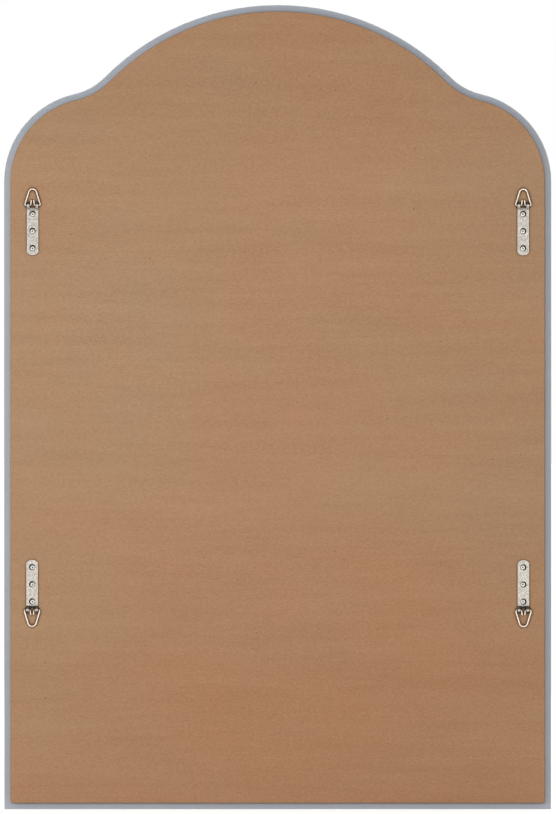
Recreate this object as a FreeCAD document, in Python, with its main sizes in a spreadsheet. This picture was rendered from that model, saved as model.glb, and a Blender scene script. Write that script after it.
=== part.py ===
import FreeCAD, Part
import math
import os

import Sketcher
from FreeCAD import Placement, Rotation, Vector

# Frameless mirror with a scalloped arch top, in millimetres: coated glass, a backing board
# stuck to it, and four strap hangers with swinging rings.
# +Z is up, the reflecting side faces -Y and the wall side faces +Y. The origin is the middle of
# the glass's bottom edge. Left and right are as seen from behind, so left is the +X side.

SIZES = {
    # Glass outline: straight sides, convex shoulders, concave coves and one crown arc
    "glass_width": 610,
    "glass_height": 897,
    "arch_rise": 197,
    "shoulder_radius": 100,
    "cove_radius": 70,
    "cove_inset": 62.5,
    # Glass, its two coats, and the gap that keeps the film's face off the glass's
    "glass_thickness": 4,
    "arris": 0.4,
    "coat_gap": 0.05,
    "silver_thickness": 0.1,
    "paint_thickness": 0.15,
    # Backing board
    "board_inset": 7.5,
    "board_thickness": 9,
    "board_corner_radius": 2.5,
    "board_edge": 0.5,
    # Foam tape and adhesive beads between paint and board
    "tape_thickness": 1.1,
    "tape_width": 24,
    "tape_side_margin": 58,
    "strip_end_margin": 33,
    "bead_width": 12,
    "crown_bead_length": 180,
    # Places of the hangers: strap centre to glass side, hinge axis to spring line and to base
    "hanger_side_distance": 31.9,
    "upper_hanger_drop": 27.2,
    "lower_hanger_height": 222.4,
    # Hanger strap
    "strap_width": 13,
    "strap_thickness": 1.2,
    "strap_end_margin": 8,
    "strap_end_radius": 7.6,
    "strap_edge": 0.25,
    "notch_width": 7,
    "notch_depth": 3,
    "ramp_angle": 45,
    "ramp_bend_radius": 1.2,
    "roll_tail_angle": 50,
    "roll_gap": 0.1,
    # Hanger ring
    "wire_diameter": 2,
    "wire_clearance": 0.1,
    "ring_reach": 18.2,
    "ring_apex_radius": 4.5,
    "ring_bend_radius": 1.5,
    "ring_side_play": 0.35,
    "ring_rest_gap": 0.25,
    "tail_reach": 5.6,
    "tail_gap": 0.6,
    # Countersunk screw holes of the strap
    "screw_pitch": 19.1,
    "hole_margin": 0.85,
    "countersink_flare": 1.2,
    "ramp_margin": 0.95,
    # Oval-head screws
    "thread_diameter": 2.9,
    "thread_depth": 0.4,
    "thread_pitch": 1.2,
    "thread_crest": 0.3,
    "thread_clearance": 0.05,
    "head_play": 0.7,
    "seat_clearance": 0.05,
    "head_flare": 0.75,
    "head_dome": 0.55,
    "recess_span": 3.2,
    "recess_slot": 0.8,
    "recess_depth": 1,
    "recess_taper": 8,
    "screw_cover": 0.9,
    "screw_tip": 2,
    "tip_clearance": 0.2,
}
SCREWS_PER_STRAP = 3
SCREW_TURN = 53  # degrees between the cross recesses of neighbouring screws
SIDES = {"left": 1, "right": -1}
# Way in which each strap has slipped on its screws, in degrees as seen from behind
STRAP_SLIP = {"upper_left": 90, "upper_right": 45, "lower_left": 145, "lower_right": 5}
TOUCH = 1e-4  # points closer than this count as one
# Steps of the strip pitch from the middle of the board to each strip, tape and bead in turn
TAPE_STEPS = {"outer_left": 3, "inner_left": 1, "inner_right": -1, "outer_right": -3}
BEAD_STEPS = {"left": 2, "centre": 0, "right": -2}
# Sketch references: a line's or arc's points count up from 1, the sketch's own axes down from -1
START, END, CENTRE = range(1, 4)
ACROSS, UP = range(-1, -3, -1)
ORIGIN = (ACROSS, START)

doc = FreeCAD.newDocument("ScallopedMirror")
sheet = doc.addObject("Spreadsheet::Sheet", "Sheet")
for row, (alias, number) in enumerate(SIZES.items(), start=1):
    sheet.set(f"A{row}", alias)
    sheet.set(f"B{row}", str(number))
    sheet.setAlias(f"B{row}", alias)
doc.recompute()

# Sizes that follow from the sheet, as expressions
SIDE_HEIGHT = "(Sheet.glass_height - Sheet.arch_rise)"
GLASS_BACK = "(Sheet.glass_thickness / 2)"
SILVER_FRONT = f"({GLASS_BACK} + Sheet.coat_gap)"
PAINT_FRONT = f"({SILVER_FRONT} + Sheet.silver_thickness)"
TAPE_FRONT = f"({PAINT_FRONT} + Sheet.paint_thickness)"
BOARD_FRONT = f"({TAPE_FRONT} + Sheet.tape_thickness)"
BOARD_BACK = f"({BOARD_FRONT} + Sheet.board_thickness)"

STRIP_PITCH = (
    "((Sheet.glass_width / 2 - Sheet.board_inset - Sheet.tape_side_margin)"
    f" / {max(TAPE_STEPS.values())})"
)
STRIP_BOTTOM = "(Sheet.board_inset + Sheet.strip_end_margin)"
STRIP_LENGTH = f"({SIDE_HEIGHT} - {STRIP_BOTTOM} - Sheet.strip_end_margin)"

HANGER_X = "(Sheet.glass_width / 2 - Sheet.hanger_side_distance)"
HINGE_Z = {
    "upper": f"({SIDE_HEIGHT} - Sheet.upper_hanger_drop)",
    "lower": "Sheet.lower_hanger_height",
}

ROLL_INNER = "(Sheet.wire_diameter / 2 + Sheet.wire_clearance)"
ROLL_OUTER = f"({ROLL_INNER} + Sheet.strap_thickness)"
HINGE_LIFT = f"({ROLL_OUTER} + Sheet.roll_gap)"
# Bending up the plate by the ramp angle and tangent to the roll takes this run of strap
RAMP_RISE = (
    f"({HINGE_LIFT} - Sheet.strap_thickness - Sheet.ramp_bend_radius"
    f" + ({ROLL_OUTER} + Sheet.ramp_bend_radius) * cos(Sheet.ramp_angle))"
)
RAMP_RUN = (
    f"({RAMP_RISE} / tan(Sheet.ramp_angle)"
    f" + ({ROLL_OUTER} + Sheet.ramp_bend_radius) * sin(Sheet.ramp_angle))"
)
HOLE_RADIUS = "(Sheet.thread_diameter / 2 + Sheet.hole_margin)"
COUNTERSINK_RADIUS = f"({HOLE_RADIUS} + Sheet.countersink_flare)"
FIRST_SCREW = f"({RAMP_RUN} + Sheet.ramp_margin + {COUNTERSINK_RADIUS})"
STRAP_REACH = (
    f"({FIRST_SCREW} + {SCREWS_PER_STRAP - 1} * Sheet.screw_pitch + Sheet.strap_end_margin)"
)
# A ring at rest leans on the board until its apex is the rest gap away
RING_LEAN = (
    f"asin(({HINGE_LIFT} - Sheet.wire_diameter / 2 - Sheet.ring_rest_gap) / Sheet.ring_reach)"
)

# A screw's head narrows to its neck beside the countersink, with play for the strap to slip
NECK_RADIUS = f"({HOLE_RADIUS} - Sheet.head_play)"
HEAD_RADIUS = f"({NECK_RADIUS} + Sheet.head_flare)"
HEAD_LIFT = "(Sheet.head_flare * Sheet.strap_thickness / Sheet.countersink_flare)"
HEAD_TOP = f"({HEAD_LIFT} + Sheet.head_dome)"
SHANK_LENGTH = "(Sheet.board_thickness - Sheet.screw_cover)"
PILOT_DEPTH = f"({SHANK_LENGTH} + Sheet.tip_clearance)"
SLIP = "(Sheet.head_play - Sheet.seat_clearance)"


def value(expression):
    """The number that an expression over the sheet gives, with angles in degrees."""
    result = sheet.evalExpression(expression)
    return float(getattr(result, "Value", result))


def new_body(label):
    body = doc.addObject("PartDesign::Body", label)
    body.Label = label
    return body


def place(piece, x="0", y="0", z="0", rotation=None):
    """Put a piece where three expressions say, turned by a fixed rotation."""
    piece.Placement = Placement(Vector(), rotation or Rotation())
    for axis, expression in zip("xyz", (x, y, z)):
        piece.setExpression(f"Placement.Base.{axis}", expression)


def origin_feature(body, role):
    return next(part for part in body.Origin.OriginFeatures if part.Role == role)


def new_sketch(body, role, name):
    sketch = body.newObject("Sketcher::SketchObject", name)
    sketch.AttachmentSupport = (origin_feature(body, role), [""])
    sketch.MapMode = "FlatFace"
    return sketch


def add_line(sketch, start, end):
    return sketch.addGeometry(Part.LineSegment(Vector(*start), Vector(*end)))


def add_arc(sketch, centre, radius, start_angle, end_angle):
    """Arc running anticlockwise between two angles in degrees."""
    circle = Part.Circle(Vector(*centre), Vector(0, 0, 1), radius)
    arc = Part.ArcOfCircle(circle, math.radians(start_angle), math.radians(end_angle))
    return sketch.addGeometry(arc)


def add_circle(sketch, centre, radius):
    return sketch.addGeometry(Part.Circle(Vector(*centre), Vector(0, 0, 1), radius))


def fix(sketch, kind, *references):
    sketch.addConstraint(Sketcher.Constraint(kind, *references))


def close_loop(sketch, sides):
    """Join each side's end to the next one's start."""
    for first, second in zip(sides, (*sides[1:], sides[0])):
        fix(sketch, "Coincident", first, END, second, START)


def add_rectangle(sketch, low, high):
    """Upright rectangle between two corners, as its floor, right, top and left sides."""
    corners = (low, (high[0], low[1]), high, (low[0], high[1]))
    sides = [add_line(sketch, first, second) for first, second in zip(corners, (*corners[1:], low))]
    close_loop(sketch, sides)
    for index, side in enumerate(sides):
        fix(sketch, "Vertical" if index % 2 else "Horizontal", side)
    return sides


def size(sketch, expression, kind, *references):
    """Dimension a sketch by an expression over the sheet."""
    index = sketch.addConstraint(Sketcher.Constraint(kind, *references, value(expression)))
    sketch.setExpression(f"Constraints[{index}]", expression)


def polar(centre, radius, angle):
    """Point at an angle in degrees round a centre."""
    turn = math.radians(angle)
    return (centre[0] + radius * math.cos(turn), centre[1] + radius * math.sin(turn))


def heading(start, end):
    """Angle in degrees of the way from one point to another, from 0 to 360."""
    return math.degrees(math.atan2(end[1] - start[1], end[0] - start[0])) % 360


def add_feature(body, kind, name, profile=None, **settings):
    feature = body.newObject(f"PartDesign::{kind}", name)
    if profile is not None:
        feature.Profile = profile
    for name_of_setting, setting in settings.items():
        setattr(feature, name_of_setting, setting)
    return feature


def edges_where(shape, test):
    """Names of the edges whose bounding box passes a test."""
    return [f"Edge{index}" for index, edge in enumerate(shape.Edges, start=1) if test(edge.BoundBox)]


def near(first, second):
    return abs(first - second) < TOUCH


def outline_sketch(body, inset):
    """The mirror's outline, a given inset inside the glass's, standing on the sketch's axis."""
    half_width = value(f"Sheet.glass_width / 2 - {inset}")
    spring = value(f"{SIDE_HEIGHT} - {inset}")
    top = value(f"Sheet.glass_height - 2 * {inset}")
    shoulder_radius = value(f"Sheet.shoulder_radius - {inset}")
    cove_radius = value(f"Sheet.cove_radius + {inset}")
    shoulder = (half_width - shoulder_radius, spring)
    cove_x = value("Sheet.glass_width / 2 - Sheet.cove_inset")
    cove_rise = math.sqrt((shoulder_radius + cove_radius) ** 2 - (cove_x - shoulder[0]) ** 2)
    cove = (cove_x, spring + cove_rise)
    drop = top - cove[1]
    crown_radius = (cove_x ** 2 + drop ** 2 - cove_radius ** 2) / (2 * (cove_radius + drop))
    crown = (0, top - crown_radius)
    shoulder_turn = heading(shoulder, cove)
    crown_turn = heading(crown, cove)

    sketch = new_sketch(body, "XZ_Plane", "outline")
    base = add_line(sketch, (-half_width, 0), (half_width, 0))
    right_side = add_line(sketch, (half_width, 0), (half_width, spring))
    right_shoulder = add_arc(sketch, shoulder, shoulder_radius, 0, shoulder_turn)
    right_cove = add_arc(sketch, cove, cove_radius, 180 + crown_turn, 180 + shoulder_turn)
    arch = add_arc(sketch, crown, crown_radius, crown_turn, 180 - crown_turn)
    left_cove = add_arc(sketch, (-cove[0], cove[1]), cove_radius, -shoulder_turn, -crown_turn)
    left_shoulder_at = (-shoulder[0], spring)
    left_shoulder = add_arc(sketch, left_shoulder_at, shoulder_radius, 180 - shoulder_turn, 180)
    left_side = add_line(sketch, (-half_width, spring), (-half_width, 0))
    summit = sketch.addGeometry(Part.Point(Vector(0, top)))

    fix(sketch, "Coincident", base, END, right_side, START)
    fix(sketch, "Coincident", left_side, END, base, START)
    fix(sketch, "Tangent", right_side, END, right_shoulder, START)
    fix(sketch, "Tangent", right_shoulder, END, right_cove, END)
    fix(sketch, "Tangent", right_cove, START, arch, START)
    fix(sketch, "Tangent", arch, END, left_cove, END)
    fix(sketch, "Tangent", left_cove, START, left_shoulder, START)
    fix(sketch, "Tangent", left_shoulder, END, left_side, START)
    fix(sketch, "Vertical", right_side)
    fix(sketch, "Vertical", left_side)
    fix(sketch, "Symmetric", base, START, base, END, UP)
    fix(sketch, "PointOnObject", base, START, ACROSS)
    fix(sketch, "Equal", right_shoulder, left_shoulder)
    fix(sketch, "Equal", right_cove, left_cove)
    fix(sketch, "PointOnObject", arch, CENTRE, UP)
    fix(sketch, "PointOnObject", summit, START, UP)
    fix(sketch, "PointOnObject", summit, START, arch)
    size(sketch, f"Sheet.glass_width - 2 * {inset}", "DistanceX", base, START, base, END)
    size(sketch, f"Sheet.glass_height - 2 * {inset}", "DistanceY", *ORIGIN, summit, START)
    size(sketch, f"{SIDE_HEIGHT} - {inset}", "DistanceY", *ORIGIN, right_shoulder, CENTRE)
    size(sketch, f"{SIDE_HEIGHT} - {inset}", "DistanceY", *ORIGIN, left_shoulder, CENTRE)
    size(sketch, f"Sheet.shoulder_radius - {inset}", "Radius", right_shoulder)
    size(sketch, f"Sheet.cove_radius + {inset}", "Radius", right_cove)
    size(sketch, "Sheet.glass_width / 2 - Sheet.cove_inset", "DistanceX", *ORIGIN, right_cove, CENTRE)
    return sketch


def outline_plate(label, inset, thickness, front):
    """A flat sheet of the mirror's outline, from its front plane towards the wall."""
    body = new_body(label)
    sheet_pad = add_feature(body, "Pad", "sheet", outline_sketch(body, inset), Reversed=True)
    sheet_pad.setExpression("Length", thickness)
    place(body, y=front, z=inset)
    doc.recompute()
    return body, sheet_pad


def add_chamfer(body, base, edges, width):
    chamfer = add_feature(body, "Chamfer", "chamfer")
    chamfer.Base = (base, edges)
    chamfer.setExpression("Size", width)
    return chamfer


def make_glass():
    body, pane = outline_plate("glass_pane", "0", "Sheet.glass_thickness", f"-{GLASS_BACK}")
    rims = edges_where(pane.Shape, lambda box: box.YLength < TOUCH)
    add_chamfer(body, pane, rims, "Sheet.arris")
    return body


def make_board():
    """Backing board with a blind hole for every screw."""
    body, panel = outline_plate(
        "backing_board", "Sheet.board_inset", "Sheet.board_thickness", BOARD_FRONT
    )
    foot = panel.Shape.BoundBox.ZMin
    corners = edges_where(panel.Shape, lambda box: near(box.ZMax, foot) and box.XLength < TOUCH)
    rounding = add_feature(body, "Fillet", "corners")
    rounding.Base = (panel, corners)
    rounding.setExpression("Radius", "Sheet.board_corner_radius")
    doc.recompute()
    rims = edges_where(rounding.Shape, lambda box: box.YLength < TOUCH)
    add_chamfer(body, rounding, rims, "Sheet.board_edge")

    bores = new_sketch(body, "XZ_Plane", "screw_holes")
    bores.setExpression("AttachmentOffset.Base.z", "-Sheet.board_thickness")
    hole_radius = "Sheet.thread_diameter / 2 + Sheet.thread_clearance"
    for row in HINGE_Z:
        for side in SIDES.values():
            for index in range(SCREWS_PER_STRAP):
                height = f"{screw_height(row, index)} - Sheet.board_inset"
                middle = (side * value(HANGER_X), value(height))
                hole = add_circle(bores, middle, value(hole_radius))
                ends = (*ORIGIN, hole, CENTRE) if side > 0 else (hole, CENTRE, *ORIGIN)
                size(bores, HANGER_X, "DistanceX", *ends)
                size(bores, height, "DistanceY", *ORIGIN, hole, CENTRE)
                size(bores, hole_radius, "Radius", hole)
    drilled = add_feature(body, "Pocket", "drilled", bores, Reversed=True)
    drilled.setExpression("Length", PILOT_DEPTH)
    return body


def screw_height(row, index):
    """Height of a strap's screw, counted from the hinge."""
    away = "-" if row == "upper" else "+"
    return f"({HINGE_Z[row]} {away} ({FIRST_SCREW} + {index} * Sheet.screw_pitch))"


def make_tape(label, step):
    tape = doc.addObject("Part::Box", label)
    tape.Label = label
    tape.setExpression("Length", "Sheet.tape_width")
    tape.setExpression("Width", "Sheet.tape_thickness")
    tape.setExpression("Height", STRIP_LENGTH)
    place(tape, f"{step} * {STRIP_PITCH} - Sheet.tape_width / 2", TAPE_FRONT, STRIP_BOTTOM)
    return tape


def make_bead(label, length):
    """Flattened bead with round ends, its middle at the body's origin, along its Z."""
    body = new_body(label)
    sketch = new_sketch(body, "XZ_Plane", "bead")
    radius = value("Sheet.bead_width / 2")
    reach = value(f"{length} / 2 - Sheet.bead_width / 2")
    cap = add_arc(sketch, (0, reach), radius, 0, 180)
    left = add_line(sketch, (-radius, reach), (-radius, -reach))
    foot = add_arc(sketch, (0, -reach), radius, 180, 360)
    right = add_line(sketch, (radius, -reach), (radius, reach))
    fix(sketch, "Tangent", cap, END, left, START)
    fix(sketch, "Tangent", left, END, foot, START)
    fix(sketch, "Tangent", foot, END, right, START)
    fix(sketch, "Tangent", right, END, cap, START)
    fix(sketch, "Symmetric", cap, CENTRE, foot, CENTRE, *ORIGIN)
    fix(sketch, "Vertical", left)
    fix(sketch, "Vertical", right)
    size(sketch, "Sheet.bead_width / 2", "Radius", cap)
    size(sketch, f"{length} - Sheet.bead_width", "DistanceY", foot, CENTRE, cap, CENTRE)
    bead = add_feature(body, "Pad", "layer", sketch, Reversed=True)
    bead.setExpression("Length", "Sheet.tape_thickness")
    return body


def strap_profile(body):
    """Side view of the bent strip: plate, ramp, and the roll round the wire.

    The sketch's axes are out of the board and towards the ring, from under the hinge.
    """
    thick = value("Sheet.strap_thickness")
    bend = value("Sheet.ramp_bend_radius")
    inner = value(ROLL_INNER)
    outer = value(ROLL_OUTER)
    slope = value("Sheet.ramp_angle")
    tail_turn = 180 + value("Sheet.roll_tail_angle")
    reach = value(STRAP_REACH)
    run = value(RAMP_RUN)
    hinge = (value(HINGE_LIFT), 0)
    knee = (thick + bend, -run)

    sketch = new_sketch(body, "YZ_Plane", "side_view")
    under = add_line(sketch, (0, -reach), (0, -run))
    outer_bend = add_arc(sketch, knee, bend + thick, 180 - slope, 180)
    ramp_under = add_line(sketch, polar(knee, bend + thick, 180 - slope), polar(hinge, inner, -slope))
    roll_inside = add_arc(sketch, hinge, inner, -slope, tail_turn)
    tail = add_line(sketch, polar(hinge, inner, tail_turn), polar(hinge, outer, tail_turn))
    roll_outside = add_arc(sketch, hinge, outer, -slope, tail_turn)
    ramp_top = add_line(sketch, polar(hinge, outer, -slope), polar(knee, bend, 180 - slope))
    inner_bend = add_arc(sketch, knee, bend, 180 - slope, 180)
    top = add_line(sketch, (thick, -run), (thick, -reach))
    end = add_line(sketch, (thick, -reach), (0, -reach))

    fix(sketch, "Tangent", under, END, outer_bend, END)
    fix(sketch, "Tangent", outer_bend, START, ramp_under, START)
    fix(sketch, "Tangent", ramp_under, END, roll_inside, START)
    fix(sketch, "Coincident", roll_inside, END, tail, START)
    fix(sketch, "Coincident", tail, END, roll_outside, END)
    fix(sketch, "Tangent", roll_outside, START, ramp_top, START)
    fix(sketch, "Tangent", ramp_top, END, inner_bend, START)
    fix(sketch, "Tangent", inner_bend, END, top, START)
    fix(sketch, "Coincident", top, END, end, START)
    fix(sketch, "Coincident", end, END, under, START)
    fix(sketch, "Vertical", under)
    fix(sketch, "PointOnObject", under, START, UP)
    fix(sketch, "Vertical", top)
    fix(sketch, "Horizontal", end)
    fix(sketch, "Coincident", roll_inside, CENTRE, roll_outside, CENTRE)
    fix(sketch, "PointOnObject", roll_inside, CENTRE, ACROSS)
    fix(sketch, "Coincident", outer_bend, CENTRE, inner_bend, CENTRE)
    fix(sketch, "PointOnObject", roll_inside, CENTRE, tail)
    size(sketch, "Sheet.strap_thickness", "DistanceX", under, START, top, END)
    size(sketch, STRAP_REACH, "DistanceY", under, START, *ORIGIN)
    size(sketch, HINGE_LIFT, "DistanceX", *ORIGIN, roll_inside, CENTRE)
    size(sketch, ROLL_INNER, "Radius", roll_inside)
    size(sketch, ROLL_OUTER, "Radius", roll_outside)
    size(sketch, "Sheet.ramp_bend_radius", "Radius", inner_bend)
    size(sketch, RAMP_RUN, "DistanceY", outer_bend, CENTRE, *ORIGIN)
    size(sketch, f"{ROLL_INNER} * sin(Sheet.roll_tail_angle)", "DistanceY", tail, START, *ORIGIN)
    return sketch


def make_strap(label):
    """Hanger strap, lying on its board at the body's origin, its ring end towards +Z."""
    body = new_body(label)
    strip = add_feature(body, "Pad", "strip", strap_profile(body), SideType="Symmetric")
    strip.setExpression("Length", "Sheet.strap_width")

    notch_cut = new_sketch(body, "XZ_Plane", "notch")
    past_roll = f"2 * {ROLL_OUTER}"
    half_notch = value("Sheet.notch_width / 2")
    low = -value("Sheet.notch_depth")
    high = value(past_roll)
    floor, _, mouth, _ = add_rectangle(notch_cut, (-half_notch, low), (half_notch, high))
    size(notch_cut, "Sheet.notch_width / 2", "DistanceX", floor, START, *ORIGIN)
    size(notch_cut, "Sheet.notch_width", "DistanceX", floor, START, floor, END)
    size(notch_cut, "Sheet.notch_depth", "DistanceY", floor, START, *ORIGIN)
    size(notch_cut, past_roll, "DistanceY", *ORIGIN, mouth, START)
    add_feature(body, "Pocket", "notched", notch_cut, Type="ThroughAll", SideType="Symmetric")

    first_hole = add_feature(body, "Groove", "first_hole", hole_sketch(body), Angle=360)
    first_hole.ReferenceAxis = (first_hole.Profile[0], ["Axis0"])
    doc.recompute()
    holes = add_feature(body, "LinearPattern", "holes", Originals=[first_hole])
    holes.Direction = (origin_feature(body, "Z_Axis"), [""])
    holes.Reversed = True
    holes.Occurrences = SCREWS_PER_STRAP
    holes.setExpression("Length", f"{SCREWS_PER_STRAP - 1} * Sheet.screw_pitch")
    body.Tip = holes
    doc.recompute()

    rounded = add_feature(
        body, "Pocket", "rounded_end", strap_end_sketch(body), Type="ThroughAll", SideType="Symmetric"
    )
    doc.recompute()
    softened = add_feature(body, "Fillet", "softened_edge")
    softened.Base = (rounded, edges_where(rounded.Shape, on_plate_rim))
    softened.setExpression("Radius", "Sheet.strap_edge")
    return body


def on_plate_rim(box):
    """Whether an edge's box lies on the strap's top face, along its sides or round its end."""
    thick = value("Sheet.strap_thickness")
    on_top = near(box.YMin, thick) and near(box.YMax, thick)
    below_ramp = box.ZMin < -value(RAMP_RUN) - TOUCH
    straight = box.XLength < TOUCH
    wider_than_hole = box.XLength > 2 * value(COUNTERSINK_RADIUS) + TOUCH
    return on_top and below_ramp and (straight or wider_than_hole)


def hole_sketch(body):
    """Half section of the strap's first screw hole, beside the hole's axis."""
    thick = value("Sheet.strap_thickness")
    hole = value(HOLE_RADIUS)
    countersink = value(COUNTERSINK_RADIUS)
    middle = -value(FIRST_SCREW)

    sketch = new_sketch(body, "YZ_Plane", "hole_section")
    floor = add_line(sketch, (0, middle), (thick, middle))
    mouth = add_line(sketch, (thick, middle), (thick, middle + countersink))
    flare = add_line(sketch, (thick, middle + countersink), (0, middle + hole))
    back = add_line(sketch, (0, middle + hole), (0, middle))
    axis = add_line(sketch, (0, middle), (thick, middle))
    sketch.setConstruction(axis, True)
    close_loop(sketch, (floor, mouth, flare, back))
    fix(sketch, "Horizontal", floor)
    fix(sketch, "Vertical", mouth)
    fix(sketch, "PointOnObject", back, START, UP)
    fix(sketch, "PointOnObject", back, END, UP)
    fix(sketch, "Coincident", axis, START, floor, START)
    fix(sketch, "Coincident", axis, END, floor, END)
    size(sketch, "Sheet.strap_thickness", "DistanceX", floor, START, floor, END)
    size(sketch, FIRST_SCREW, "DistanceY", floor, START, *ORIGIN)
    size(sketch, HOLE_RADIUS, "DistanceY", back, END, back, START)
    size(sketch, COUNTERSINK_RADIUS, "DistanceY", mouth, START, mouth, END)
    return sketch


def strap_end_sketch(body):
    """The waste round the strap's rounded end, as seen from the wall."""
    half_width = value("Sheet.strap_width / 2")
    radius = value("Sheet.strap_end_radius")
    reach = value(STRAP_REACH)
    centre = (0, radius - reach)
    corner_turn = math.degrees(math.acos(half_width / radius))
    corner = polar(centre, radius, -corner_turn)
    waste = value("Sheet.strap_end_margin")

    sketch = new_sketch(body, "XZ_Plane", "end_waste")
    end_arc = add_arc(sketch, centre, radius, 180 + corner_turn, 360 - corner_turn)
    right = add_line(sketch, corner, (corner[0], corner[1] - waste))
    bottom = add_line(sketch, (corner[0], corner[1] - waste), (-corner[0], corner[1] - waste))
    left = add_line(sketch, (-corner[0], corner[1] - waste), (-corner[0], corner[1]))
    close_loop(sketch, (end_arc, right, bottom, left))
    fix(sketch, "Vertical", right)
    fix(sketch, "Vertical", left)
    fix(sketch, "Symmetric", bottom, START, bottom, END, UP)
    fix(sketch, "PointOnObject", end_arc, CENTRE, UP)
    size(sketch, "Sheet.strap_width", "DistanceX", end_arc, START, end_arc, END)
    size(sketch, "Sheet.strap_end_radius", "Radius", end_arc)
    size(sketch, f"{STRAP_REACH} - Sheet.strap_end_radius", "DistanceY", end_arc, CENTRE, *ORIGIN)
    size(sketch, "Sheet.strap_end_margin", "DistanceY", right, END, right, START)
    return sketch


def ring_path(body):
    """Half of the wire's line, from the ring's apex round to the tail, hinged on the X axis."""
    reach = value("Sheet.ring_reach")
    apex_radius = value("Sheet.ring_apex_radius")
    bend = value("Sheet.ring_bend_radius")
    leg_in = value("Sheet.notch_width / 2")
    leg_out = value("Sheet.strap_width / 2 + Sheet.ring_side_play")
    tip = (value("(Sheet.wire_diameter + Sheet.tail_gap) / 2"), value("Sheet.tail_reach"))
    apex = (0, reach - apex_radius)
    corner = (leg_out, bend)
    fold = (leg_in, bend)
    # The leg touches both arcs from outside; the tail touches the fold's arc on its inner side
    leg_lean = math.acos((bend - apex_radius) / math.dist(corner, apex))
    leg_turn = heading(corner, apex) - math.degrees(leg_lean)
    tail_lean = math.acos(bend / math.dist(fold, tip))
    tail_turn = heading(fold, tip) + math.degrees(tail_lean)

    sketch = new_sketch(body, "XZ_Plane", "wire_line")
    top = add_arc(sketch, apex, apex_radius, leg_turn, 90)
    leg = add_line(sketch, polar(apex, apex_radius, leg_turn), polar(corner, bend, leg_turn))
    elbow = add_arc(sketch, corner, bend, -90, leg_turn)
    hinge = add_line(sketch, (leg_out, 0), (leg_in, 0))
    turn_up = add_arc(sketch, fold, bend, tail_turn, 270)
    tail = add_line(sketch, polar(fold, bend, tail_turn), tip)
    fix(sketch, "Tangent", top, START, leg, START)
    fix(sketch, "Tangent", leg, END, elbow, END)
    fix(sketch, "Tangent", elbow, START, hinge, START)
    fix(sketch, "Tangent", hinge, END, turn_up, END)
    fix(sketch, "Tangent", turn_up, START, tail, START)
    fix(sketch, "PointOnObject", top, CENTRE, UP)
    fix(sketch, "PointOnObject", top, END, UP)
    fix(sketch, "Horizontal", hinge)
    fix(sketch, "PointOnObject", hinge, START, ACROSS)
    fix(sketch, "Equal", elbow, turn_up)
    size(sketch, "Sheet.ring_apex_radius", "Radius", top)
    size(sketch, "Sheet.ring_reach", "DistanceY", *ORIGIN, top, END)
    size(sketch, "Sheet.ring_bend_radius", "Radius", elbow)
    size(sketch, "Sheet.strap_width / 2 + Sheet.ring_side_play", "DistanceX", *ORIGIN, hinge, START)
    size(sketch, "Sheet.notch_width / 2", "DistanceX", *ORIGIN, hinge, END)
    size(sketch, "(Sheet.wire_diameter + Sheet.tail_gap) / 2", "DistanceX", *ORIGIN, tail, END)
    size(sketch, "Sheet.tail_reach", "DistanceY", *ORIGIN, tail, END)
    return sketch


def make_ring(label):
    """Hanger ring of bent wire, its hinge axis along the body's X and its apex towards +Z."""
    body = new_body(label)
    path = ring_path(body)
    section = new_sketch(body, "YZ_Plane", "wire_section")
    wire = add_circle(section, (0, value("Sheet.ring_reach")), value("Sheet.wire_diameter / 2"))
    fix(section, "PointOnObject", wire, CENTRE, UP)
    size(section, "Sheet.ring_reach", "DistanceY", *ORIGIN, wire, CENTRE)
    size(section, "Sheet.wire_diameter / 2", "Radius", wire)
    half = add_feature(body, "AdditivePipe", "half_ring", section)
    doc.recompute()
    half.Spine = (path, [f"Edge{index}" for index in range(1, len(path.Shape.Edges) + 1)])
    doc.recompute()
    whole = add_feature(body, "Mirrored", "whole_ring")
    whole.Originals = [half]
    whole.MirrorPlane = (origin_feature(body, "YZ_Plane"), [""])
    body.Tip = whole
    return body


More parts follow.
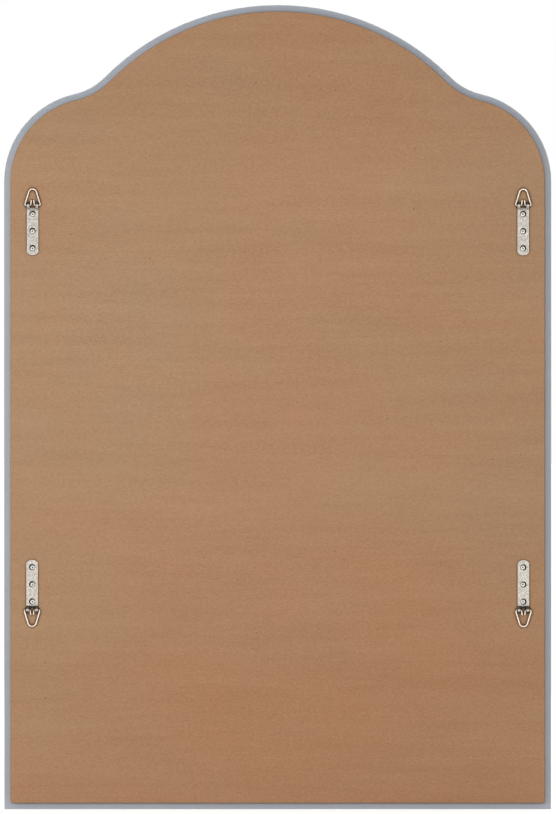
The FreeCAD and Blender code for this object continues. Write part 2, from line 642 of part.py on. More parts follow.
def make_screw(label):
    """Oval-head screw along the body's Y, its neck on the board at the origin, its tip towards -Y."""
    body = new_body(label)
    head = value(HEAD_RADIUS)
    neck = value(NECK_RADIUS)
    shank_radius = value("Sheet.thread_diameter / 2")
    lift = value(HEAD_LIFT)
    top = value(HEAD_TOP)
    dome = value("Sheet.head_dome")
    length = value(SHANK_LENGTH)
    taper_start = value(f"{SHANK_LENGTH} - Sheet.screw_tip")
    dome_radius = (head ** 2 + dome ** 2) / (2 * dome)
    dome_centre = (0, top - dome_radius)

    half_view = new_sketch(body, "XY_Plane", "half_view")
    crown = add_arc(half_view, dome_centre, dome_radius, heading(dome_centre, (head, lift)), 90)
    axis = add_line(half_view, (0, top), (0, -length))
    point = add_line(half_view, (0, -length), (shank_radius, -taper_start))
    shank = add_line(half_view, (shank_radius, -taper_start), (shank_radius, 0))
    seat = add_line(half_view, (shank_radius, 0), (neck, 0))
    flank = add_line(half_view, (neck, 0), (head, lift))
    close_loop(half_view, (crown, axis, point, shank, seat, flank))
    fix(half_view, "PointOnObject", crown, CENTRE, UP)
    fix(half_view, "PointOnObject", axis, START, UP)
    fix(half_view, "PointOnObject", axis, END, UP)
    fix(half_view, "Vertical", shank)
    fix(half_view, "PointOnObject", seat, START, ACROSS)
    fix(half_view, "PointOnObject", seat, END, ACROSS)
    size(half_view, HEAD_TOP, "DistanceY", *ORIGIN, axis, START)
    size(half_view, SHANK_LENGTH, "DistanceY", axis, END, *ORIGIN)
    size(half_view, "Sheet.thread_diameter / 2", "DistanceX", *ORIGIN, seat, START)
    size(half_view, NECK_RADIUS, "DistanceX", *ORIGIN, seat, END)
    size(half_view, HEAD_RADIUS, "DistanceX", *ORIGIN, flank, END)
    size(half_view, HEAD_LIFT, "DistanceY", *ORIGIN, flank, END)
    size(half_view, "Sheet.screw_tip", "DistanceY", point, START, point, END)
    turned = add_feature(body, "Revolution", "turned", half_view, Angle=360)
    turned.ReferenceAxis = (half_view, ["V_Axis"])
    doc.recompute()
    cut_recess(body)
    cut_thread(body)
    return body


def cut_recess(body):
    """Tapered cross recess from the top of a screw's head."""
    slot_view = new_sketch(body, "XZ_Plane", "recess_slot")
    slot_view.setExpression("AttachmentOffset.Base.z", f"-{HEAD_TOP}")
    half_span = value("Sheet.recess_span / 2")
    half_slot = value("Sheet.recess_slot / 2")
    floor, right, _, _ = add_rectangle(slot_view, (-half_span, -half_slot), (half_span, half_slot))
    fix(slot_view, "Symmetric", floor, START, right, END, *ORIGIN)
    size(slot_view, "Sheet.recess_span", "DistanceX", floor, START, floor, END)
    size(slot_view, "Sheet.recess_slot", "DistanceY", right, START, right, END)
    slot = add_feature(body, "Pocket", "slot", slot_view, Reversed=True)
    slot.setExpression("Length", "Sheet.recess_depth")
    slot.setExpression("TaperAngle", "-Sheet.recess_taper")
    doc.recompute()
    cross = add_feature(body, "PolarPattern", "cross", Originals=[slot], Angle=90, Occurrences=2)
    cross.Axis = (slot_view, ["N_Axis"])
    body.Tip = cross
    doc.recompute()


def cut_thread(body):
    """Ring grooves of the thread's pitch and depth, between the neck and the screw's taper."""
    pitch = value("Sheet.thread_pitch")
    mouth_width = "(Sheet.thread_pitch - Sheet.thread_crest)"
    mouth_radius = "(Sheet.thread_diameter / 2 + Sheet.thread_clearance)"
    root_radius = "(Sheet.thread_diameter / 2 - Sheet.thread_depth)"
    first_depth = "(Sheet.thread_crest + Sheet.thread_pitch / 2)"
    mouth_x = value(mouth_radius)
    root_x = value(root_radius)
    middle = -value(first_depth)
    half_mouth = value(mouth_width) / 2

    groove_view = new_sketch(body, "XY_Plane", "groove_view")
    mouth = add_line(groove_view, (mouth_x, middle - half_mouth), (mouth_x, middle + half_mouth))
    upper = add_line(groove_view, (mouth_x, middle + half_mouth), (root_x, middle))
    lower = add_line(groove_view, (root_x, middle), (mouth_x, middle - half_mouth))
    close_loop(groove_view, (mouth, upper, lower))
    fix(groove_view, "Vertical", mouth)
    fix(groove_view, "Equal", upper, lower)
    size(groove_view, mouth_radius, "DistanceX", *ORIGIN, mouth, START)
    size(groove_view, root_radius, "DistanceX", *ORIGIN, upper, END)
    size(groove_view, first_depth, "DistanceY", upper, END, *ORIGIN)
    size(groove_view, mouth_width, "DistanceY", mouth, START, mouth, END)
    groove = add_feature(body, "Groove", "groove", groove_view, Angle=360)
    groove.ReferenceAxis = (groove_view, ["V_Axis"])
    doc.recompute()

    threaded = value(f"{SHANK_LENGTH} - Sheet.screw_tip - Sheet.thread_crest")
    turns = math.floor(threaded / pitch)
    thread = add_feature(body, "LinearPattern", "thread", Originals=[groove], Occurrences=turns)
    thread.Direction = (groove_view, ["V_Axis"])
    thread.Reversed = True
    thread.setExpression("Length", f"{turns - 1} * Sheet.thread_pitch")
    body.Tip = thread


def make_hanger(row, side):
    """One strap with its ring and its group of screws, on the back of the board."""
    name = f"{row}_{side}"
    across = f"{SIDES[side]} * {HANGER_X}"
    slipped_across = f"{across} - {SLIP} * cos({STRAP_SLIP[name]})"
    slipped_up = f"{HINGE_Z[row]} + {SLIP} * sin({STRAP_SLIP[name]})"
    facing = Rotation(Vector(0, 1, 0), 0 if row == "upper" else 180)

    strap = make_strap(f"{name}_strap")
    place(strap, slipped_across, BOARD_BACK, slipped_up, facing)

    ring = make_ring(f"{name}_ring")
    hinge_out = f"{BOARD_BACK} + {HINGE_LIFT}"
    if row == "upper":
        place(ring, slipped_across, hinge_out, slipped_up, Rotation(Vector(1, 0, 0), value(RING_LEAN)))
        ring.setExpression("Placement.Rotation.Angle", RING_LEAN)
    else:
        place(ring, slipped_across, hinge_out, slipped_up, facing)

    screws = []
    for index in range(SCREWS_PER_STRAP):
        screw = make_screw(f"{name}_screw_{index + 1}")
        turn = Rotation(Vector(0, 1, 0), SCREW_TURN * (index + 1) * SIDES[side])
        place(screw, across, BOARD_BACK, screw_height(row, index), turn)
        screws.append(screw)
    group = doc.addObject("Part::Compound", f"{name}_screws")
    group.Label = f"{name}_screws"
    group.Links = screws
    return [strap, ring, group]


def make_strips():
    """Foam tape and adhesive beads in turn across the board, and one bead across the crown."""
    pieces = []
    for label, step in TAPE_STEPS.items():
        pieces.append(make_tape(f"foam_tape_{label}", step))
    for label, step in BEAD_STEPS.items():
        bead = make_bead(f"adhesive_bead_{label}", STRIP_LENGTH)
        place(bead, f"{step} * {STRIP_PITCH}", TAPE_FRONT, f"{STRIP_BOTTOM} + {STRIP_LENGTH} / 2")
        pieces.append(bead)
    crown_bead = make_bead("adhesive_bead_crown", "Sheet.crown_bead_length")
    crown_middle = "Sheet.glass_height - Sheet.arch_rise / 2"
    place(crown_bead, "0", TAPE_FRONT, crown_middle, Rotation(Vector(0, 1, 0), 90))
    pieces.append(crown_bead)
    return pieces


def check(pieces):
    """Stop if anything failed to build."""
    for item in doc.Objects:
        if "Invalid" in item.State or "Error" in item.State:
            raise RuntimeError(f"{item.Label} failed to build")
    for piece in pieces:
        if piece.Shape.isNull() or not piece.Shape.isValid():
            raise RuntimeError(f"{piece.Label} has no valid shape")


coats = [
    outline_plate("silver_film", "Sheet.arris", "Sheet.silver_thickness", SILVER_FRONT)[0],
    outline_plate("back_paint", "Sheet.arris", "Sheet.paint_thickness", PAINT_FRONT)[0],
]
pieces = [make_glass(), *coats, make_board(), *make_strips()]
for row in HINGE_Z:
    for side in SIDES:
        pieces += make_hanger(row, side)
doc.recompute()
check(pieces)

os.makedirs("parts", exist_ok=True)
for piece in pieces:
    piece.Shape.exportStep(f"parts/{piece.Label}.step")
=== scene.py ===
import math

import bpy
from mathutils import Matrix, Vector

# Looks of the scalloped frameless mirror: the back, as the photograph shows it, is lit by a soft
# studio. Every solid of the frame is kept and gets a finish of its own.
# Metres. +Z is up, the back with the hangers faces +Y, and left as seen from behind is +X.

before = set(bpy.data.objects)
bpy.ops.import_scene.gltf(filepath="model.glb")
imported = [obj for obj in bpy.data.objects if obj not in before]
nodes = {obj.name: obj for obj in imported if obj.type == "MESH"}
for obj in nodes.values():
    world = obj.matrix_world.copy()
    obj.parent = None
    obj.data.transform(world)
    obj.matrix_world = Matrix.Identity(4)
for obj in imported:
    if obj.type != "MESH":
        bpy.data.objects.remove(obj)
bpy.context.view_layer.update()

# Camera, from the photograph: its frame shows this height at the glass, seen square on
FRAME_HEIGHT = 0.90782
CAMERA_DISTANCE = 10.0
SENSOR = 36.0
AIM = Vector((-0.00033, 0.002, 0.44867))

# Middle of the object, at which the lamps aim
MIDDLE_HEIGHT = 0.45
MIDDLE = Vector((0.0, 0.0, MIDDLE_HEIGHT))

# Light from all round: its least strength, and what is added straight before and behind
WORLD_BASE = 0.20
WORLD_FACING = 0.35

# What reflections see: the studio on the hangers' side, the room on the mirror's side
BACKGROUND_ZENITH = 0.40
BACKGROUND_SIDES = 0.12
BACKGROUND_FACING = 1.4
ROOM_HORIZON = 0.40
ROOM_HIGH = 0.80

# Parts of a direction along Z or Y, from -1 to 1, between which each of those changes
ZENITH_RISE = (0.2, 0.95)
FACING_RISE = (0.35, 0.9)
ROOM_RISE = (0.0, 0.45)
ROOM_TURN = (0.1, -0.3)

# Floor, just below the object
FLOOR_ALBEDO = 0.92
FLOOR_SIZE = 120.0
FLOOR_DROP = 0.0004

# The floor's glow: the camera sees it rise away from the object, to meet the white background,
# and reflections see it fade before the mirror
FLOOR_GLOW = 0.66
FLOOR_GLOW_AWAY = 0.76
FLOOR_GLOW_FAR = 0.04
FLOOR_AWAY = (1.0, 4.0)
FLOOR_FAR_Y = (0.3, -1.0)

# Colours, linear
WHITE = (1.0, 1.0, 1.0, 1.0)
BOARD_COLOUR = (0.406, 0.231, 0.1255)
BOARD_SPECK = (0.16, 0.085, 0.045)
BOARD_NICK = (0.50, 0.33, 0.21)
BOARD_SAWN = (0.36, 0.208, 0.116)
# Painted shade in the board's corners and gaps
BOARD_SHADE = (0.024, 0.015, 0.010)
PAINT_COLOUR = (0.368, 0.398, 0.447)
SILVER_COLOUR = (0.93, 0.94, 0.935)
GLASS_CLEAR = (0.985, 0.995, 0.99)
GLASS_ARRIS = (0.21, 0.30, 0.28)
GLASS_EDGE = (0.50, 0.72, 0.66)
GLASS_SHEEN = (0.50, 0.74, 0.67, 1.0)
FOAM_COLOUR = (0.72, 0.71, 0.67)
ADHESIVE_COLOUR = (0.46, 0.43, 0.37)

# Tints: the share of a variation that red, green and blue take
EVENLY = (1.0, 1.0, 1.0)
DARKER = (0.72, 1.0, 1.25)
REDDER = (0.55, -0.5, -1.0)
# Painted light on the backing paint: warm bounce beside the board, and a lighter foot
PAINT_SIDE_BOUNCE = (0.11, -0.06, -0.22)
PAINT_FOOT_LIGHT = (0.10, 0.08, 0.07)

# Places in metres where a tint, or a painted light or shade, starts and where it is full
# The board's foot and crown are painted darker and its sides less red, as painted light and shade
BOARD_FOOT_SHADE = (0.42, 0.10)
BOARD_CROWN_SHADE = (0.70, 0.84)
BOARD_SIDE_SHADING = (0.03, 0.34)
BOARD_MIDDLE_X = -0.05
# The paint's band beside the board and its foot take painted light
PAINT_BESIDE = (0.3028, 0.2978)
PAINT_UPRIGHT = (0.74, 0.70)
PAINT_ABOVE_FOOT = (0.005, 0.012)
PAINT_FOOT = (0.03, 0.005)

# Board's marks: the shift of their pattern, their strength and the solid share of their size
MARKS_ACROSS = 5.3
MARKS_UP = 3.1
MARK_STRENGTH = 0.7
MARK_CORE = 0.5

# How far a face is turned to the back or front, where a feature starts and where it is full
SAWN_EDGE = (0.75, 0.45)
GROUND_GLASS = (0.9, 0.6)
FLAT_EDGE = (0.5, 0.2)
# Slopes of the screw holes, which take painted shade
SHADED_HOLE_SLOPE = (0.9, 0.78)

# How open a place is, where a feature starts and where it is full: the board's painted shade, the
# painted shade on the screw holes' slopes and the painted highlight along metal edges
BOARD_SHADE_OPEN = (0.48, 0.98)
SHADED_HOLE_OPEN = (0.985, 0.93)
HIGHLIGHT_EDGE_OPEN = (0.95, 0.55)

# How far openness looks, and with how many rays
BOARD_SHADE_REACH = 0.0035
HIGHLIGHT_EDGE_REACH = 0.0012
OPENNESS_SAMPLES = 8

# Noise is centred and spread to about -1 to 1
NOISE_MIDDLE = 0.5
NOISE_SPREAD = 4.0

# Sockets of the Mix node for colours
MIX_FACTOR = 0
MIX_FIRST = 6
MIX_SECOND = 7
MIX_RESULT = 2

# Plated steel: the painted highlight colour of its edges, the repeats to the metre of its mottle,
# the colour of the painted shade in its corners, how near a neighbour brings that painted shade, how
# open its darkest and last places are, how much duller it is painted for each metre up as painted
# shade, and whether the slopes of its screw holes take painted shade
STRAP_PLATING = {
    "name": "strap_plating",
    "colour": (0.486, 0.452, 0.405),
    "edge_highlight": (0.64, 0.57, 0.50),
    "roughness": 0.34,
    "mottle": 620.0,
    "painted_shade": (0.012, 0.010, 0.009),
    "reach": 0.003,
    "shade_open": (0.77, 0.97),
    "upward_shade": 0.2,
    "shaded_holes": True,
}
RING_PLATING = {
    "name": "ring_plating",
    "colour": (0.88, 0.74, 0.60),
    "edge_highlight": (0.90, 0.77, 0.64),
    "roughness": 0.12,
    "mottle": 700.0,
    "painted_shade": (0.05, 0.035, 0.025),
    "reach": 0.002,
    "shade_open": (0.77, 0.97),
}
SCREW_PLATING = {
    "name": "screw_plating",
    "colour": (0.88, 0.85, 0.78),
    "edge_highlight": (0.92, 0.89, 0.82),
    "roughness": 0.22,
    "mottle": 900.0,
    "painted_shade": (0.008, 0.007, 0.006),
    "reach": 0.003,
    "shade_open": (0.58, 0.9),
}


class NodeTree:
    """A node tree, with short ways to add and wire nodes."""

    def __init__(self, tree):
        self.tree = tree

    def add(self, kind, inputs=None, **settings):
        node = self.tree.nodes.new(kind)
        for name, setting in settings.items():
            setattr(node, name, setting)
        for name, source in (inputs or {}).items():
            self.feed(node.inputs[name], source)
        return node

    def feed(self, socket, source):
        """Wire an output to a socket, or set the socket's own value."""
        if isinstance(source, bpy.types.NodeSocket):
            self.tree.links.new(source, socket)
        else:
            socket.default_value = source

    def math(self, operation, first, second=0.0):
        node = self.add("ShaderNodeMath", {0: first, 1: second}, operation=operation)
        return node.outputs[0]

    def product(self, first, *others):
        for other in others:
            first = self.math("MULTIPLY", first, other)
        return first

    def split(self, vector):
        """The X, Y and Z of a vector, by those names."""
        return self.add("ShaderNodeSeparateXYZ", {"Vector": vector}).outputs

    def ramp(self, source, low, high, start=0.0, end=1.0):
        """Smooth step of a value, from start at low to end at high."""
        inputs = {"Value": source, "From Min": low, "From Max": high, "To Min": start, "To Max": end}
        node = self.add("ShaderNodeMapRange", inputs, interpolation_type="SMOOTHSTEP")
        return node.outputs["Result"]

    def blend(self, share, first, second):
        """Value between two, from the first at share 0 to the second at share 1."""
        rest = self.math("SUBTRACT", 1.0, share)
        return self.math("ADD", self.product(rest, first), self.product(share, second))

    def rays(self):
        """Whether a ray is the camera's own, and whether it was reflected or came through glass."""
        kinds = self.add("ShaderNodeLightPath").outputs
        mirrored = self.math("MAXIMUM", kinds["Is Glossy Ray"], kinds["Is Transmission Ray"])
        return kinds["Is Camera Ray"], mirrored


class Shader(NodeTree):
    """One material's node tree, with its textures and its surface."""

    def __init__(self, name):
        self.material = bpy.data.materials.new(name)
        self.material.use_nodes = True
        super().__init__(self.material.node_tree)
        self.surface = self.tree.nodes["Principled BSDF"]
        self.place = self.add("ShaderNodeTexCoord").outputs["Object"]

    def set(self, **inputs):
        """Settings of the surface, with underscores for spaces in their names."""
        for name, source in inputs.items():
            self.feed(self.surface.inputs[name.replace("_", " ")], source)

    def stretched(self, place, scale):
        """Texture place, in repeats to the metre along each axis."""
        return self.add("ShaderNodeMapping", {"Vector": place, "Scale": scale}).outputs["Vector"]

    def noise(self, scale, detail=3.0, roughness=0.5):
        """Noise from -1 to 1 about, with its repeats to the metre, or those along each axis."""
        repeats = scale if isinstance(scale, tuple) else (scale,) * 3
        texture = self.add(
            "ShaderNodeTexNoise",
            {
                "Vector": self.stretched(self.place, repeats),
                "Scale": 1.0,
                "Detail": detail,
                "Roughness": roughness,
            },
        )
        centred = self.math("SUBTRACT", texture.outputs["Fac"], NOISE_MIDDLE)
        return self.product(centred, NOISE_SPREAD)

    def sum(self, *parts, base=0.0):
        """A base value plus (amount, source) pairs."""
        total = base
        for amount, source in parts:
            total = self.math("ADD", self.product(source, amount), total)
        return total

    def mix(self, factor, first, second):
        """Colour between two, from the first at factor 0 to the second at factor 1."""
        inputs = {
            MIX_FACTOR: factor,
            MIX_FIRST: self.opaque(first),
            MIX_SECOND: self.opaque(second),
        }
        node = self.add("ShaderNodeMix", inputs, data_type="RGBA", clamp_factor=True)
        return node.outputs[MIX_RESULT]

    def opaque(self, source):
        """A colour of three parts with its alpha, or an output as it is."""
        return (*source, 1.0) if isinstance(source, tuple) else source

    def varied(self, colour, *fields):
        """A colour times one plus some variations, each given with its tint."""
        joined = self.add("ShaderNodeCombineColor")
        for index, part in enumerate(colour):
            shares = [(tint[index], field) for field, tint in fields]
            channel = self.product(self.sum(*shares, base=1.0), part)
            self.feed(joined.inputs[index], channel)
        return joined.outputs["Color"]

    def bump(self, height, depth):
        node = self.add("ShaderNodeBump", {"Height": height, "Distance": depth, "Strength": 1.0})
        self.feed(self.surface.inputs["Normal"], node.outputs["Normal"])

    def openness(self, reach, inside=False):
        """How open a point is within a reach, from 0 in a deep corner to 1 on an open face."""
        node = self.add(
            "ShaderNodeAmbientOcclusion",
            {"Distance": reach},
            samples=OPENNESS_SAMPLES,
            inside=inside,
        )
        return node.outputs["AO"]

    def near_edge(self):
        """How near a point is to an outer edge of its solid, from 0 to 1."""
        return self.ramp(self.openness(HIGHLIGHT_EDGE_REACH, inside=True), *HIGHLIGHT_EDGE_OPEN)

    def facing_back(self):
        """How far the surface faces the back or the front, from 0 to 1."""
        normal = self.add("ShaderNodeNewGeometry").outputs["True Normal"]
        return self.math("ABSOLUTE", self.split(normal)["Y"])

    def marks(self, place, scale, size, share):
        """Small marks in a stretched grid; share is the part of its cells that has one."""
        cells = self.add(
            "ShaderNodeTexVoronoi",
            {"Vector": self.stretched(place, scale), "Scale": 1.0},
            voronoi_dimensions="2D",
        )
        chosen = self.add("ShaderNodeSeparateColor", {"Color": cells.outputs["Color"]})
        picked = self.math("LESS_THAN", chosen.outputs["Red"], share)
        near = self.ramp(cells.outputs["Distance"], size, size * MARK_CORE)
        return self.product(picked, near)


def board_finish():
    """Fibreboard: long faint streaks, fine fibres, a few specks and nicks, darker sawn edges, and
    painted shade in corners and across it.
    """
    shader = Shader("fibreboard")
    streaks = shader.noise((5.0, 1.0, 60.0), roughness=0.6)
    threads = shader.noise((14.0, 1.0, 170.0), detail=2.0)
    bands = shader.noise((0.8, 1.0, 10.0), detail=2.0)
    clouds = shader.noise((5.0, 1.0, 8.0))
    fibres = shader.noise((300.0, 500.0, 650.0), roughness=0.7)
    grain = shader.noise((1800.0, 2600.0, 2600.0), detail=2.0)
    place = shader.split(shader.place)
    off_middle = shader.math("ABSOLUTE", shader.math("SUBTRACT", place["X"], BOARD_MIDDLE_X))
    foot = shader.ramp(place["Z"], *BOARD_FOOT_SHADE)
    crown = shader.ramp(place["Z"], *BOARD_CROWN_SHADE)
    sides = shader.ramp(off_middle, *BOARD_SIDE_SHADING)
    # Painted shade and light across the board: darker towards the foot and the crown, lighter
    # towards +X
    tone = shader.sum(
        (0.05, streaks), (0.03, threads), (0.036, bands), (0.17, fibres), (0.08, grain),
        (-0.035, foot), (-0.09, crown), (0.10, place["X"]),
    )
    # Hue: clouds at random, and painted light that is redder at the foot and less red towards the
    # sides
    hue = shader.sum((0.05, clouds), (0.05, foot), (-0.055, sides))
    base = shader.varied(BOARD_COLOUR, (tone, DARKER), (hue, REDDER))

    across = shader.math("ADD", place["X"], MARKS_ACROSS)
    up = shader.math("ADD", place["Z"], MARKS_UP)
    flat = shader.add("ShaderNodeCombineXYZ", {"X": across, "Y": up}).outputs["Vector"]
    specks = shader.marks(flat, scale=(34.0, 34.0, 1.0), size=0.035, share=0.055)
    nicks = shader.marks(flat, scale=(9.0, 45.0, 1.0), size=0.022, share=0.05)
    base = shader.mix(shader.product(specks, MARK_STRENGTH), base, BOARD_SPECK)
    base = shader.mix(shader.product(nicks, MARK_STRENGTH), base, BOARD_NICK)

    sawn = shader.ramp(shader.facing_back(), *SAWN_EDGE)
    layers = shader.noise((60.0, 1500.0, 60.0), detail=2.0)
    sawn_tone = shader.sum((0.10, layers), (0.06, fibres))
    base = shader.mix(sawn, base, shader.varied(BOARD_SAWN, (sawn_tone, DARKER)))
    # Painted shade where neighbours crowd the board: beside and under the hangers and in the screw
    # holes
    unshaded = shader.ramp(shader.openness(BOARD_SHADE_REACH), *BOARD_SHADE_OPEN)
    shader.set(
        Base_Color=shader.mix(unshaded, BOARD_SHADE, base),
        Roughness=shader.sum((0.05, fibres), base=0.74),
        Specular_IOR_Level=0.3,
    )
    shader.bump(shader.sum((1.0, fibres), (0.6, grain)), depth=0.00006)
    return shader.material


def paint_finish():
    """Mirror backing paint: blue-grey, faintly mottled, with a thin orange peel, painted warm bounce
    light beside the board and painted light at its foot.
    """
    shader = Shader("mirror_backing_paint")
    clouds = shader.noise(9.0)
    mottle = shader.noise(90.0)
    peel = shader.noise(900.0, detail=2.0)
    tone = shader.sum((0.03, clouds), (0.03, mottle), (0.012, peel))
    place = shader.split(shader.place)
    # Painted warm bounce light from the board on the band beside it, and painted light that lifts
    # its foot
    beside = shader.ramp(shader.math("ABSOLUTE", place["X"]), *PAINT_BESIDE)
    upright = shader.ramp(place["Z"], *PAINT_UPRIGHT)
    above_foot = shader.ramp(place["Z"], *PAINT_ABOVE_FOOT)
    sides = shader.product(beside, upright, above_foot)
    foot = shader.ramp(place["Z"], *PAINT_FOOT)
    fields = ((tone, EVENLY), (sides, PAINT_SIDE_BOUNCE), (foot, PAINT_FOOT_LIGHT))
    shader.set(
        Base_Color=shader.varied(PAINT_COLOUR, *fields),
        Roughness=shader.sum((0.05, mottle), base=0.46),
    )
    shader.bump(peel, depth=0.00002)
    return shader.material


def silver_finish():
    """Silvering under the glass: a clean mirror, with the faintest haze."""
    shader = Shader("silvering")
    haze = shader.noise(14.0)
    shader.set(
        Base_Color=shader.varied(SILVER_COLOUR, (shader.sum((0.006, haze)), EVENLY)),
        Metallic=1.0,
        Roughness=shader.sum((0.004, haze), base=0.012),
    )
    return shader.material


def glass_finish():
    """Clear float glass, polished on its faces and finely ground on its edge and arrises."""
    shader = Shader("float_glass")
    smears = shader.noise((11.0, 11.0, 16.0), detail=4.0)
    grinding = shader.noise((150.0, 4000.0, 150.0), detail=2.0)
    facing = shader.facing_back()
    ground = shader.ramp(facing, *GROUND_GLASS)
    edge = shader.ramp(facing, *FLAT_EDGE)
    tint = shader.mix(edge, GLASS_ARRIS, GLASS_EDGE)
    shader.set(
        Base_Color=shader.mix(ground, GLASS_CLEAR, tint),
        Sheen_Weight=shader.product(edge, 0.8),
        Sheen_Roughness=0.7,
        Sheen_Tint=GLASS_SHEEN,
        Roughness=shader.sum((0.22, ground), (0.003, smears), base=0.006),
        IOR=1.52,
        Transmission_Weight=1.0,
    )
    shader.bump(shader.product(ground, grinding), depth=0.00002)
    return shader.material


def foam_finish():
    """Double-sided foam tape: off-white closed cells."""
    shader = Shader("foam_tape")
    cells = shader.noise(1500.0, detail=2.0)
    clouds = shader.noise(60.0, detail=2.0)
    tone = shader.sum((0.06, cells), (0.03, clouds))
    shader.set(
        Base_Color=shader.varied(FOAM_COLOUR, (tone, EVENLY)),
        Roughness=shader.sum((0.04, cells), base=0.8),
    )
    shader.bump(cells, depth=0.00008)
    return shader.material


def adhesive_finish():
    """Set mirror adhesive: grey-beige and slightly glossy."""
    shader = Shader("mirror_adhesive")
    skin = shader.noise(250.0)
    clouds = shader.noise(40.0, detail=2.0)
    tone = shader.sum((0.05, skin), (0.05, clouds))
    shader.set(
        Base_Color=shader.varied(ADHESIVE_COLOUR, (tone, EVENLY)),
        Roughness=shader.sum((0.08, skin), base=0.42),
    )
    shader.bump(skin, depth=0.0001)
    return shader.material


def plated_finish(name, colour, edge_highlight, roughness, mottle, painted_shade, reach, shade_open, upward_shade=0.0, shaded_holes=False):
    """Plated steel: mottled satin or bright, with a warmer painted highlight along its edges and
    painted shade in its corners.
    """
    shader = Shader(name)
    blotches = shader.noise(mottle, roughness=0.6)
    scuffs = shader.noise((4000.0, 4000.0, 900.0), detail=2.0)
    flecks = shader.noise(900.0, detail=1.0)
    height = shader.split(shader.place)["Z"]
    # The height part is painted shade: the steel is duller the higher it is
    tone = shader.sum(
        (0.36, blotches), (0.10, scuffs), (0.32, flecks), (-upward_shade, height),
        base=MIDDLE_HEIGHT * upward_shade,
    )
    plate = shader.varied(colour, (tone, EVENLY))
    # Painted highlight, warmer and brighter, along the outer edges
    plate = shader.mix(shader.near_edge(), plate, edge_highlight)
    # Painted shade where neighbours crowd the steel: corners, recesses and under its neighbours
    opened = shader.openness(reach)
    unshaded = shader.ramp(opened, *shade_open)
    # Painted shade on the open slopes of the screw holes, where a head leaves a gap
    if shaded_holes:
        slope = shader.ramp(shader.facing_back(), *SHADED_HOLE_SLOPE)
        flank = shader.product(slope, shader.ramp(opened, *SHADED_HOLE_OPEN))
        unshaded = shader.product(unshaded, shader.math("SUBTRACT", 1.0, flank))
    shader.set(
        Base_Color=shader.mix(unshaded, painted_shade, plate),
        Metallic=1.0,
        Roughness=shader.sum((0.06, blotches), (0.03, scuffs), base=roughness),
    )
    shader.bump(shader.sum((1.0, blotches), (0.3, scuffs)), depth=0.000012)
    return shader.material


def dress(finish, names):
    """Give the named solids a finish."""
    for name in names:
        materials = nodes[name].data.materials
        materials.clear()
        materials.append(finish)


def dress_object():
    """Give every solid of the frame its finish."""
    dress(glass_finish(), ["glass_pane"])
    dress(silver_finish(), ["silver_film"])
    dress(paint_finish(), ["back_paint"])
    dress(board_finish(), ["backing_board"])
    dress(foam_finish(), [name for name in nodes if name.startswith("foam_tape")])
    dress(adhesive_finish(), [name for name in nodes if name.startswith("adhesive_bead")])
    hangers = [f"{row}_{side}" for row in ("upper", "lower") for side in ("left", "right")]
    platings = {"strap": STRAP_PLATING, "ring": RING_PLATING, "screws": SCREW_PLATING}
    for piece, plating in platings.items():
        dress(plated_finish(**plating), [f"{hanger}_{piece}" for hanger in hangers])


def make_floor():
    """Pale floor that takes the object's shadow and meets the white background."""
    mesh = bpy.data.meshes.new("studio_floor")
    reach = FLOOR_SIZE / 2
    corners = [(-reach, -reach), (reach, -reach), (reach, reach), (-reach, reach)]
    mesh.from_pydata([(x, y, -FLOOR_DROP) for x, y in corners], [], [(0, 1, 2, 3)])
    floor = bpy.data.objects.new("studio_floor", mesh)
    bpy.context.scene.collection.objects.link(floor)

    shader = Shader("studio_floor")
    speckle = shader.noise(300.0, detail=2.0)
    tone = shader.sum((0.006, speckle))
    seen, mirrored = shader.rays()
    far_y = shader.split(shader.place)["Y"]
    faded = shader.ramp(far_y, *FLOOR_FAR_Y, FLOOR_GLOW, FLOOR_GLOW_FAR)
    length = shader.add("ShaderNodeVectorMath", {0: shader.place}, operation="LENGTH")
    glow = shader.ramp(length.outputs["Value"], *FLOOR_AWAY, FLOOR_GLOW, FLOOR_GLOW_AWAY)
    strength = shader.math("ADD", shader.product(seen, glow), shader.product(mirrored, faded))
    shader.set(
        Base_Color=shader.varied((FLOOR_ALBEDO,) * 3, (tone, EVENLY)),
        Roughness=0.9,
        Specular_IOR_Level=0.1,
        Emission_Color=WHITE,
        Emission_Strength=strength,
    )
    mesh.materials.append(shader.material)


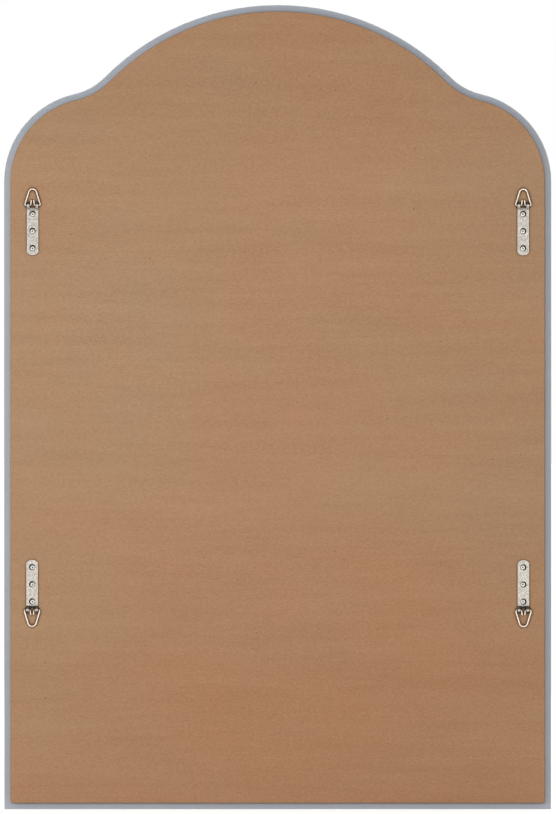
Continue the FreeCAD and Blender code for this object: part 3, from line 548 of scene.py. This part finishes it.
def make_world():
    """Soft light from all round and a white background, with a graded room for reflections."""
    world = bpy.data.worlds.new("studio")
    world.use_nodes = True
    bpy.context.scene.world = world
    background = world.node_tree.nodes["Background"]
    sky = NodeTree(world.node_tree)

    way = sky.split(sky.add("ShaderNodeTexCoord").outputs["Generated"])
    facing = sky.math("ABSOLUTE", way["Y"])
    light = sky.math("ADD", sky.product(facing, WORLD_FACING), WORLD_BASE)

    zenith = sky.ramp(way["Z"], *ZENITH_RISE, 1.0, BACKGROUND_ZENITH)
    sides = sky.ramp(facing, *FACING_RISE, BACKGROUND_SIDES, BACKGROUND_FACING)
    studio = sky.product(zenith, sides)
    room = sky.product(sky.ramp(way["Z"], *ROOM_RISE, ROOM_HORIZON, ROOM_HIGH), zenith)
    surroundings = sky.blend(sky.ramp(way["Y"], *ROOM_TURN), studio, room)

    seen, mirrored = sky.rays()
    unseen = sky.blend(mirrored, light, surroundings)
    sky.feed(background.inputs["Color"], WHITE)
    sky.feed(background.inputs["Strength"], sky.blend(seen, unseen, 1.0))


def add_softbox(name, place, width, height, power, glossy=False):
    """Area lamp that aims at the object's middle; glossy says whether reflections show it."""
    lamp = bpy.data.lights.new(name, "AREA")
    lamp.shape = "RECTANGLE"
    lamp.size = width
    lamp.size_y = height
    lamp.energy = power
    softbox = bpy.data.objects.new(name, lamp)
    softbox.visible_camera = False
    softbox.visible_glossy = glossy
    softbox.location = place
    softbox.rotation_euler = (MIDDLE - Vector(place)).to_track_quat("-Z", "Y").to_euler()
    bpy.context.scene.collection.objects.link(softbox)


def make_camera():
    """Camera on the hangers' side that looks level along -Y."""
    lens = bpy.data.cameras.new("camera")
    lens.sensor_width = SENSOR
    lens.lens = SENSOR * CAMERA_DISTANCE / FRAME_HEIGHT
    camera = bpy.data.objects.new("camera", lens)
    camera.location = AIM + Vector((0.0, CAMERA_DISTANCE, 0.0))
    camera.rotation_euler = (math.radians(90), 0.0, math.radians(180))
    bpy.context.scene.collection.objects.link(camera)
    bpy.context.scene.camera = camera


dress_object()
make_floor()
make_world()
add_softbox("key_softbox", (0.1, 5.0, 0.72), width=0.9, height=0.9, power=90.0)
add_softbox("side_softbox", (0.95, 1.65, 0.42), width=0.9, height=0.7, power=7.0)
add_softbox("front_softbox", (-1.2, -2.6, 2.2), width=1.6, height=1.6, power=40.0, glossy=True)
make_camera()

bpy.context.scene.view_settings.view_transform = "Standard"
